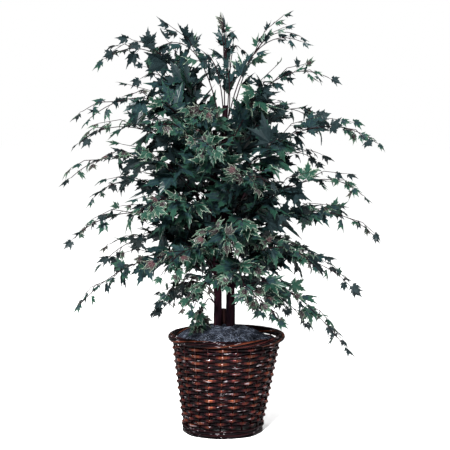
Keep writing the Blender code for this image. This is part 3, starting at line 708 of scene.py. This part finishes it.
# How often a leaf of a size is of each sort, as running shares.
# Large and middle leaves with a rim carry it as a painted highlight on their edges.
BIG_SHARES = (("deep", 0.40), ("green", 0.90), ("rimmed_and_edge_lit", 1))
MIDDLE_SHARES = (("deep", 0.25), ("green", 0.75), ("rimmed_and_edge_lit", 1))
SMALL_SHARES = (("mottled", 0.20), ("plain", 0.60), ("rimmed_and_edge_lit", 0.84), ("brown", 0.95), ("red", 1))
CLOTH_GLOSS = {"Specular_IOR_Level": 0.0, "Coat_Weight": 0.14, "Coat_Roughness": 0.3, "Coat_IOR": 1.5}


def leaf_materials():
    colours = LEAF_COLOURS.items()
    return [mottled(name, colour, 0.25, 160, 0.40, 0.0005, **CLOTH_GLOSS) for name, colour in colours]


def leaf_sort(size, top, rng):
    """The sort of a leaf: large ones are plain and dark, small ones are mottled with pale edges."""
    dice = rng.random()
    if top and dice < TOP_DEEP:
        return "deep"
    shares = BIG_SHARES if size > BIG_LEAF else MIDDLE_SHARES if size > SMALL_LEAF else SMALL_SHARES
    return next(name for name, share in shares if dice < share)


def add_leaf(pile, place, size, top, rng):
    """One leaf of cloth: an upper and a lower layer, folded, drooping, twisted and bent by chance."""
    shape = LARGE_SHAPE if size > SMALL_LEAF else SMALL_SHAPE
    hang, fold = rng.uniform(*LEAF_HANG), rng.uniform(*(TOP_FOLD if top else FOLD))
    twist, bend = rng.uniform(-LEAF_TWIST, LEAF_TWIST), rng.uniform(-LEAF_BEND, LEAF_BEND)
    x, y, z = shape.points.T
    narrow = 1 / math.hypot(1, fold)
    low = hang * (HANG_ALONG * x * np.abs(x) + (1 - HANG_ALONG) * (x * x + y * y)) + fold * narrow * np.abs(y)
    bent = np.stack((x, y * narrow + bend * x * x, z - low + twist * x * y), 1)
    under = bent - np.array((0, 0, CLOTH / size))
    sort = [LEAF_SLOTS.index(name) for name in (*SORTS[leaf_sort(size, top, rng)], "leaf_under")]
    verts = np.concatenate((bent, under)) @ np.array(place.to_3x3()).T + np.array(place.translation)
    pile.add(verts, shape.faces, [sort[region] for region in shape.regions])


def finer_growth(number, spray, wires, leaves):
    """Short wires that the solids leave out: large leaves by the stems, and a few small ones further out."""
    rng = random.Random(FINE_SEED + number)
    line = wires[0]
    length = sum((b - a).length for a, b in zip(line, line[1:]))
    outward = heading(spray.azimuth, 0)
    forks = [share for share in FINE_FORKS if share > spray.first - FINE_BEFORE]
    for fork, share in enumerate(forks):
        start, along = on_line(line, share)
        sense = 1 if (fork + number) % 2 else -1
        yaw = sense * rng.uniform(*FINE_YAW)
        rise = rng.uniform(*FINE_RISE)
        reach = min(length * rng.uniform(*FINE_REACH), (FINE_END - share) * length)
        twig = side_wire(start, along, yaw, rise, reach)
        wires.append(twig)
        for k in range(FINE_LEAVES):
            part = (k + 1) / FINE_LEAVES
            from_tip = (1 - part) * reach
            if share < FINE_INNER:
                from_tip += (1 - share) * FINE_INNER_FROM_TIP * length
            size = leaf_length(from_tip, spray.top, rng)
            turn = math.radians(180 * k + rng.uniform(-TWIG_TURN_SPREAD, TWIG_TURN_SPREAD))
            spread = None if k == FINE_LEAVES - 1 else SPREAD
            frame = leaf_frame(*on_line(twig, part), turn, spread, size, outward, rng)
            leaves.append((frame, size))


def grow_leaf(leaf_pile, wire_pile, frame, size, spray, rng):
    """A leaf at its real size, which is smaller on a longer petiole, with its face to the open side."""
    axis = frame.col[0].to_3d().normalized()
    root = frame.translation - axis * (PETIOLE * size)
    petiole = LONG_PETIOLE if size < SMALL_LEAF else PETIOLE
    real = size * LARGE_LEAVED.get(spray.name, 1) * (1 + PETIOLE) / (1 + petiole)
    heart = root + axis * (petiole * real)
    place = frame @ Matrix.Scale(real / size, 4)
    place.translation = heart
    open_side = UP * FACE_SKY + heading(spray.azimuth, 0) * FACE_SIDE
    if place.col[2].to_3d().dot(open_side) < 0:
        place = place @ Matrix.Rotation(math.pi, 4, "X")
    add_leaf(leaf_pile, place, real, spray.top, rng)
    bow = axis.cross(UP) * rng.uniform(*PETIOLE_SWAY) + UP * rng.uniform(*PETIOLE_RISE)
    middle = root.lerp(heart, 0.5) + bow * (petiole * real)
    tube(wire_pile, (root, middle, heart), PETIOLE_RADII, PETIOLE_SIDES, 0)


def dress_sprays():
    """The leaves and the wires of each side of the tree. Each kind is one piece, for that side's solids."""
    wire = mottled("wire_brown", WIRE_COLOUR, 0.3, 90, 0.5, 0.0003, Specular_IOR_Level=0.0)
    leaf = leaf_materials()
    sides = {side: ([], Pile(), Pile()) for side in (*SIDES, "top")}
    for number, spray in enumerate(spray_list()):
        nodes, leaf_pile, wire_pile = sides["top" if spray.top else spray.name.split("_")[-1]]
        nodes.append(spray.name)
        wires, leaves = spray_plan(number, spray)
        if not spray.top:
            finer_growth(number, spray, wires, leaves)
        rng = random.Random(LEAF_SEED + number)
        for i, line in enumerate(wires):
            tube(wire_pile, line, TWIG_RADII if i else WIRE_RADII, WIRE_SIDES, 0)
        for frame, size in leaves:
            grow_leaf(leaf_pile, wire_pile, frame, size, spray, rng)
    for side, (nodes, leaf_pile, wire_pile) in sides.items():
        hand_over(leaf_pile.make(f"leaves_{side}", leaf), "leaf", *nodes)
        hand_over(wire_pile.make(f"wires_{side}", [wire], smooth=True), "leaf", *nodes)


def hand_over(piece, slot, *nodes):
    """Puts a piece on the frame's body in place of those nodes."""
    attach(piece, "root")
    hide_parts(*nodes)


# ---- basket ----
def lean(points):
    """The points of an upright basket, moved to where the leaning one has them."""
    points = np.array(points, dtype=float)
    points[:, 0] += BASKET_LEAN * points[:, 2]
    return points


def wall_radius(height):
    """The wall's outer radius at a height."""
    return FOOT_RADIUS + (WALL_TOP_RADIUS - FOOT_RADIUS) * height / WALL_TOP


def hoop(pile, turns, radius, height, thick, tall, slot, sides=8, closed=True):
    """A rod that runs round the axis. turns, radius and height are arrays of its middle along it, and thick
    and tall are its half sizes. slot is one material number, or one for each step along it."""
    across = math.tau * np.arange(sides) / sides
    out = radius[:, None] + thick[:, None] * np.cos(across)
    up = height[:, None] + tall[:, None] * np.sin(across)
    spots = np.stack((out * np.cos(turns)[:, None], out * np.sin(turns)[:, None], up), 2).reshape(-1, 3)
    faces = ring_faces(len(turns), sides, closed)
    if not isinstance(slot, int):
        slot = list(np.repeat(slot[: len(faces) // sides], sides)) + [0] * (len(faces) % sides)
    pile.add(lean(spots), faces, slot)


def weave_wall(pile, rng):
    """The weaver: rods end to end, that swing in front of a stake and behind the next. The swing is a zigzag
    from 1 to -1, with its corners a little rounded."""
    rows = (WALL_TOP - WEAVER_LOW) / WEAVER_PITCH
    count = int(rows * STAKE_COUNT * WEAVER_STEPS)
    turns = math.tau * np.arange(count + 1) / (STAKE_COUNT * WEAVER_STEPS)
    swing = np.arcsin(WEAVER_CREST * np.cos(turns * STAKE_COUNT / 2)) / math.asin(WEAVER_CREST)
    height = WEAVER_LOW + WEAVER_PITCH * turns / math.tau
    slots, widths = [], []
    while len(slots) <= count:
        rod = rng.randint(*ROD_STAKES) * WEAVER_STEPS
        slots += [rng.choice(ROD_COLOURS)] * rod  # PAINTED_HIGHLIGHT is only for the corners over the stakes
        widths += list(np.linspace(rng.uniform(*ROD_BUTT), rng.uniform(*ROD_TIP), rod))
    # Painted light along each rod: a painted highlight on the corner over a stake, the rod's own stain on its
    # crest, and painted shade on its flanks and where it goes behind the next stake.
    stain_and_painted_light = np.where(swing > CREST_FROM, 0, np.where(swing > DIVE_BELOW, 1, 2)) - (swing > PAINTED_HIGHLIGHT_FROM)
    slots = np.minimum(np.array(slots[: count + 1]) + stain_and_painted_light, BLACK).tolist()
    wide = np.array(widths[: count + 1])
    tall = (WEAVER_HALF_TALL[0] + WEAVER_HALF_TALL[1] * swing) * wide
    half = math.pi / STAKE_COUNT
    chord = math.cos(half) / np.cos(turns % (2 * half) - half)  # it runs straight from stake to stake
    middle = (wall_radius(height) - WALL_THICKNESS / 2) * chord + WEAVER_SWING * swing
    hoop(pile, turns, middle, height, WEAVER_HALF_THICK * wide, tall, slots[:count], closed=False)


def set_stakes(pile):
    """The stakes, straight up in the wall and on into the rim."""
    for i in range(STAKE_COUNT):
        turn = math.tau * i / STAKE_COUNT
        ends = []
        for z in (STAKE_LOW, WALL_TOP, RIM_HEIGHT):
            radius = wall_radius(min(z, WALL_TOP)) - WALL_THICKNESS / 2
            ends.append((radius * math.cos(turn) + BASKET_LEAN * z, radius * math.sin(turn), z))
        tube(pile, ends, (STAKE_RADIUS, STAKE_RADIUS), STAKE_SIDES, BROWN)


def level_ring():
    """The turns of a rod that runs level round the basket."""
    steps = STAKE_COUNT * RING_STEPS
    return math.tau * np.arange(steps) / steps


def weave_foot(pile):
    """The waling round the foot, and the floor's rods."""
    ring = level_ring()
    flat = np.ones(len(ring))
    for k in range(FOOT_STRANDS):
        z = FOOT_STRAND + FOOT_SWAY + k * FOOT_PITCH
        wave = FOOT_WAVES * ring + FOOT_PHASE * k
        radius = wall_radius(z) - FOOT_INSET + FOOT_SWING * np.cos(wave)
        size = FOOT_STRAND * flat
        hoop(pile, ring, radius, z + FOOT_SWAY * np.sin(wave), size, size, (BLACK, BROWN)[k % 2])
    for k in range(FLOOR_RODS):
        radius = (k + FLOOR_FIRST) / FLOOR_RODS * (FOOT_RADIUS - FLOOR_EDGE)
        size = FLOOR_ROD * flat
        hoop(pile, ring, radius * flat, size, size, size, BLACK, sides=FLOOR_SIDES)


def weave_rim(pile):
    """The rolled border: strands that wind round its middle."""
    ring = level_ring()
    for k in range(RIM_STRANDS):
        phase = RIM_TWISTS * ring + math.tau * k / RIM_STRANDS
        radius = RIM_RADIUS + RIM_HELIX * np.cos(phase)
        height = RIM_HEIGHT + CLEARANCE + RIM_HELIX * np.sin(phase)
        size = RIM_STRAND * (1 + RIM_UNEVEN * np.sin(RIM_SWELLS * ring + 2 * k))
        hoop(pile, ring, radius, height, size, size, RIM_COLOURS[k])


WICKER_COLOURS = {  # in the order of the colours' numbers; the first is a painted highlight
    "wicker_worn": (0.0800, 0.0400, 0.0330),
    "wicker_orange": (0.0430, 0.0112, 0.0058),
    "wicker_red": (0.0222, 0.0049, 0.0044),
    "wicker_brown": (0.0062, 0.0016, 0.0021),
    "wicker_black": (0.0016, 0.0008, 0.0012),
}
# Colour of the pale flecks, painted glints on the varnish.
PAINTED_GLINT_COLOUR = (0.160, 0.140, 0.150)
VARNISH = {
    "Metallic": 0.45,
    "Specular_IOR_Level": 0.0,
    "Specular_Tint": (0.1, 0.05, 0.05, 1),
    "Coat_Weight": 0.08,
    "Coat_Roughness": 0.06,
    "Coat_IOR": 1.5,
}


def wicker(name, colour):
    """Varnished willow: darker in patches, with pale flecks painted as glints of its varnish, grained along
    the rods, and glossy.
    """
    material, tree, shader = principled(name, colour, 0.33, **VARNISH)
    patches = pattern(tree, 24, (1, 1, 2.4), Detail=5.0, Roughness=0.65)
    stain_and_painted_light = ramp(tree, patches, ((0.32, tinted(colour, 0.3)), (0.50, colour), (0.70, tinted(colour, 1.9))))
    # Painted glints: pale flecks stretched along the rods.
    glint_noise = pattern(tree, 34, (1, 1, 7), Detail=2.0, Roughness=0.5)
    painted_glints = ramp(tree, glint_noise, ((0.655, (0, 0, 0)), (0.70, (1, 1, 1))))
    mix = tree.nodes.new("ShaderNodeMix")
    mix.data_type = "RGBA"
    mix.inputs["B"].default_value = (*PAINTED_GLINT_COLOUR, 1)
    tree.links.new(painted_glints, mix.inputs["Factor"])
    tree.links.new(stain_and_painted_light, mix.inputs["A"])
    tree.links.new(mix.outputs["Result"], shader.inputs["Base Color"])
    bump(tree, shader, pattern(tree, 110, (1, 1, 5), Detail=3.0), 0.5, 0.0006)
    return material


def make_basket():
    rng = random.Random(BASKET_SEED)
    woods = [wicker(name, colour) for name, colour in WICKER_COLOURS.items()]
    wall, rim = Pile(), Pile()
    weave_wall(wall, rng)
    set_stakes(wall)
    weave_foot(wall)
    weave_rim(rim)
    hand_over(wall.make("wicker_wall", woods, smooth=True), "wicker", "basket_body")
    hand_over(rim.make("wicker_rim", woods, smooth=True), "wicker", "basket_rim")


# ---- moss ----
MOSS_BED_COLOUR = (0.002, 0.0028, 0.0045)
MOSS_COLOURS = {  # of the fibres
    "moss_slate": (0.0080, 0.0095, 0.0140),
    "moss_blue": (0.019, 0.024, 0.037),
    "moss_pale": (0.088, 0.102, 0.132),
}


def moss_height(radius):
    """The mound's height at a distance from its middle."""
    if radius <= MOSS_RADIUS:
        return MOSS_TOP + (MOSS_EDGE_HEIGHT - MOSS_TOP) * (radius / MOSS_RADIUS) ** MOSS_SHOULDER
    return MOSS_EDGE_HEIGHT - (radius - MOSS_RADIUS) * SKIRT_FALL


def moss_lump(x, y):
    """What the mound's tilt and its lumps add to that."""
    height = -MOSS_TILT * x
    for size, scale, seed in MOSS_LUMPS:
        height += size * noise.noise(Vector((x * scale, y * scale, seed)))
    return height


def moss_mound(pile):
    """The bed that the fibres lie on."""
    points = [(0, 0, moss_height(0) + moss_lump(0, 0))]
    for i in range(1, MOSS_RINGS + 1):
        radius = MOSS_SKIRT * i / MOSS_RINGS
        for j in range(MOSS_SIDES):
            turn = math.tau * j / MOSS_SIDES
            x, y = radius * math.cos(turn), radius * math.sin(turn)
            points.append((x, y, moss_height(radius) + moss_lump(x, y)))
    faces = [(0, 1 + j, 1 + (j + 1) % MOSS_SIDES) for j in range(MOSS_SIDES)]
    for i in range(MOSS_RINGS - 1):
        a, b = 1 + i * MOSS_SIDES, 1 + (i + 1) * MOSS_SIDES
        for j in range(MOSS_SIDES):
            k = (j + 1) % MOSS_SIDES
            faces.append((a + j, b + j, b + k, a + k))
    pile.add(lean(points), faces, 0)


def moss_fibre(pile, rng):
    """A curled fibre that lies on the mound, with its middle a little up."""
    radius, turn = FIBRE_SPREAD * math.sqrt(rng.random()), rng.uniform(0, math.tau)
    spot = Vector((radius * math.cos(turn), radius * math.sin(turn)))
    way, curl = rng.uniform(0, math.tau), rng.gauss(0, FIBRE_CURL)
    step = rng.uniform(*FIBRE_STEP)
    lift = rng.uniform(*FIBRE_LIFT)
    line = []
    for k in range(FIBRE_POINTS):
        arc = math.sin(math.pi * k / (FIBRE_POINTS - 1))
        z = moss_height(spot.length) + moss_lump(*spot) + FIBRE_CLEAR + lift * arc
        line.append((spot.x + BASKET_LEAN * z, spot.y, z))
        way += curl + rng.gauss(0, FIBRE_KINK)
        spot = spot + step * Vector((math.cos(way), math.sin(way)))
        if spot.length > MOSS_RADIUS:
            spot *= MOSS_RADIUS / spot.length
    radius = rng.uniform(*FIBRE_RADIUS)
    tube(pile, line, (radius, radius), FIBRE_SIDES, rng.choice(FIBRE_COLOURS))


def make_moss():
    rng = random.Random(MOSS_SEED)
    pile = Pile()
    moss_mound(pile)
    for _ in range(MOSS_FIBRES):
        moss_fibre(pile, rng)
    greys = [mottled("moss_bed", MOSS_BED_COLOUR, 0.4, 130, 0.95, 0.002, Specular_IOR_Level=0.1)]
    for name, colour in MOSS_COLOURS.items():
        greys.append(mottled(name, colour, 0.3, 90, 0.9, 0.0003, Specular_IOR_Level=0.1))
    hand_over(pile.make("moss_fibres", greys, smooth=True), "moss", "moss")


# ---- stems ----
BARKS = {  # seed of the relief, and colours of the ground, the light streaks, which are grain and painted highlight, and the red ones
    "left": (2.0, (0.0060, 0.0028, 0.0046), (0.034, 0.021, 0.028), (0.013, 0.0036, 0.0056)),
    "right": (7.0, (0.0036, 0.0022, 0.0036), (0.016, 0.0105, 0.0145), (0.0080, 0.0028, 0.0038)),
    "stub": (4.0, (0.0090, 0.0050, 0.0050), (0.036, 0.022, 0.021), (0.014, 0.0060, 0.0060)),
}


def bark(name, dark, light, red):
    """Stained bark: grain that runs up the stem, with redder streaks, and light ones that are grain and also
    painted highlight.
    """
    material, tree, shader = principled(name, dark, 0.34, Specular_IOR_Level=0.0)
    grain = pattern(tree, 30, (6, 6, 0.45), Detail=6.0, Roughness=0.7, Distortion=0.4)
    # The light streaks are grain and also painted highlight, standing in for the bark's sheen.
    stops = ((0.30, tinted(dark, 0.4)), (0.48, dark), (0.58, red), (0.74, light))
    tree.links.new(ramp(tree, grain, stops), shader.inputs["Base Color"])
    bump(tree, shader, pattern(tree, 90, (5, 5, 0.8), Detail=4.0), 0.8, 0.0012)
    return material


def bark_relief(seed, turn, height):
    """How far the bark stands out of the stem's plain round, by its furrows, plates and swellings."""
    x, y = math.cos(turn), math.sin(turn)
    furrow = noise.noise(Vector((x * BARK_FURROW[0], y * BARK_FURROW[0], height * BARK_FURROW[1] + seed)))
    plate = noise.noise(Vector((x * BARK_PLATE[0], y * BARK_PLATE[0], height * BARK_PLATE[1] - seed)))
    swell = noise.noise(Vector((seed, BARK_SWELL[0], height * BARK_SWELL[1])))
    return BARK_RELIEF * (BARK_SHARES[0] * furrow + BARK_SHARES[1] * plate + BARK_SHARES[2] * swell)


def make_stem(name, seed, material):
    top = STEMS[name][2]
    rings = int((top - STEM_FOOT) / BARK_STEP)
    pile = Pile()
    points = []
    for i in range(rings + 1):
        height = STEM_FOOT + (top - STEM_FOOT) * i / rings
        middle, radius = stem_axis(name, height)
        for j in range(BARK_SIDES):
            turn = math.tau * j / BARK_SIDES
            out = radius + bark_relief(seed, turn, height)
            points.append((middle.x + out * math.cos(turn), middle.y + out * math.sin(turn), height))
    pile.add(points, ring_faces(rings + 1, BARK_SIDES), 0)
    hand_over(pile.make(f"bark_{name}", [material], smooth=True), "bark", f"trunk_{name}")


def make_stems():
    for name, (seed, *colours) in BARKS.items():
        make_stem(name, seed, bark(f"bark_{name}", *colours))


def dress_block():
    """The planting block keeps the frame's shape, and gets a material."""
    material = mottled("foam_dark", (0.010, 0.011, 0.011), 0.3, 60, 0.95, 0.002)
    block = NODES["planting_block"]
    block.data.materials.clear()
    block.data.materials.append(material)


# ---- stage ----
def aim(thing, place, target):
    """Puts a light or the camera in the scene, and turns it to its target."""
    thing.location = place
    thing.rotation_euler = (Vector(target) - thing.location).to_track_quat("-Z", "Y").to_euler()
    bpy.context.scene.collection.objects.link(thing)


def make_stage():
    bpy.ops.mesh.primitive_plane_add(size=STAGE_SIZE, location=(0, 0, -STAGE_BELOW))
    floor = bpy.context.object
    floor.name = "floor"
    material, _, _ = principled("floor_white", (1.0, 1.0, 1.0), 1.0)
    floor.data.materials.append(material)
    world = bpy.data.worlds.new("studio")
    bpy.context.scene.world = world
    world.use_nodes = True
    background = world.node_tree.nodes["Background"]
    background.inputs["Color"].default_value = (1, 1, 1, 1)
    background.inputs["Strength"].default_value = 1.0
    for name, place, size, power in LIGHTS:
        data = bpy.data.lights.new(name, "AREA")
        data.size = size
        data.energy = power
        light = bpy.data.objects.new(name, data)
        aim(light, place, LIGHTS_AIM)
    bpy.context.scene.view_settings.view_transform = "Standard"


def make_camera():
    data = bpy.data.cameras.new("camera")
    data.lens = LENS
    data.sensor_width = SENSOR
    camera = bpy.data.objects.new("camera", data)
    aim(camera, CAMERA_PLACE, CAMERA_AIM)
    bpy.context.scene.camera = camera


def main():
    make_stage()
    make_camera()
    make_basket()
    dress_block()
    make_moss()
    make_stems()
    dress_sprays()


main()
